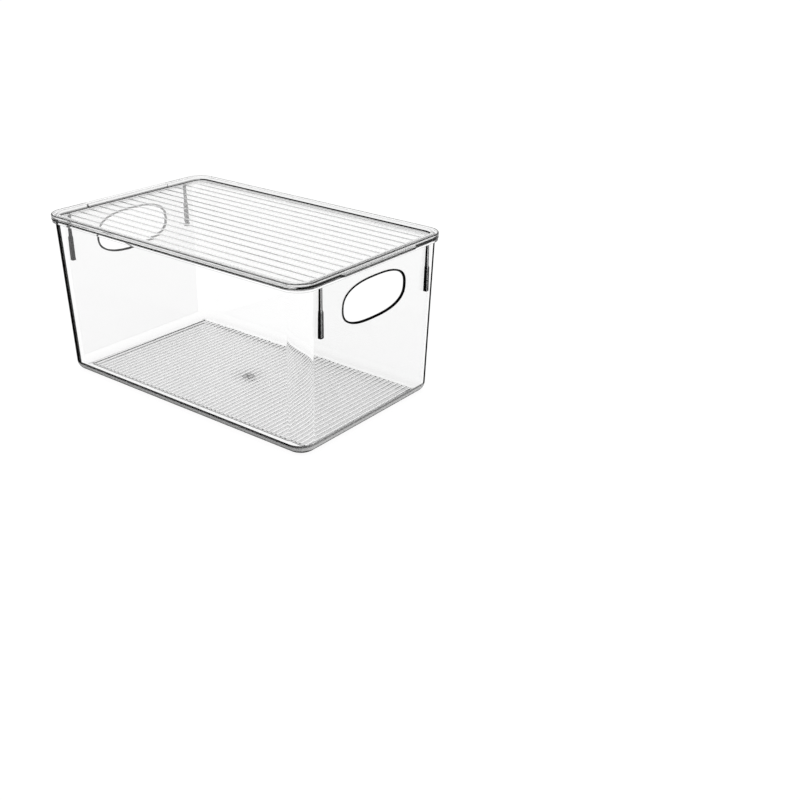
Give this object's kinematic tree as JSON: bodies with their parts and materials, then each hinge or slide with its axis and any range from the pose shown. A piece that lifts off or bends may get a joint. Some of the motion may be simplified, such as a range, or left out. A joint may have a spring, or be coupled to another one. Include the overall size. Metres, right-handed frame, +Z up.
{
  "type": "fridge bin",
  "caption": "Clear rectangular storage bin with slightly leaning walls, oval hand holes, a ribbed floor and a ribbed lift-off lid.",
  "frame": {"origin": "middle of the closed bin's footprint, on the surface it stands on", "axes": "+X along the length, through the two end walls with the hand holes; +Y across the width; +Z up, the way the lid lifts off"},
  "size_m": [0.285, 0.176, 0.138],
  "materials": {
    "bin_clear": "clear polished moulded plastic",
    "lid_clear": "clear polished moulded plastic"
  },
  "bodies": {
    "bin": {"bin_body": "bin_clear"},
    "cover": {"lid": "lid_clear"}
  },
  "joints": [
    {"name": "lid_lift", "type": "slide", "parent": "bin", "child": "cover", "axis": [0, 0, 1], "range_m": [0, 0.1]}
  ]
}
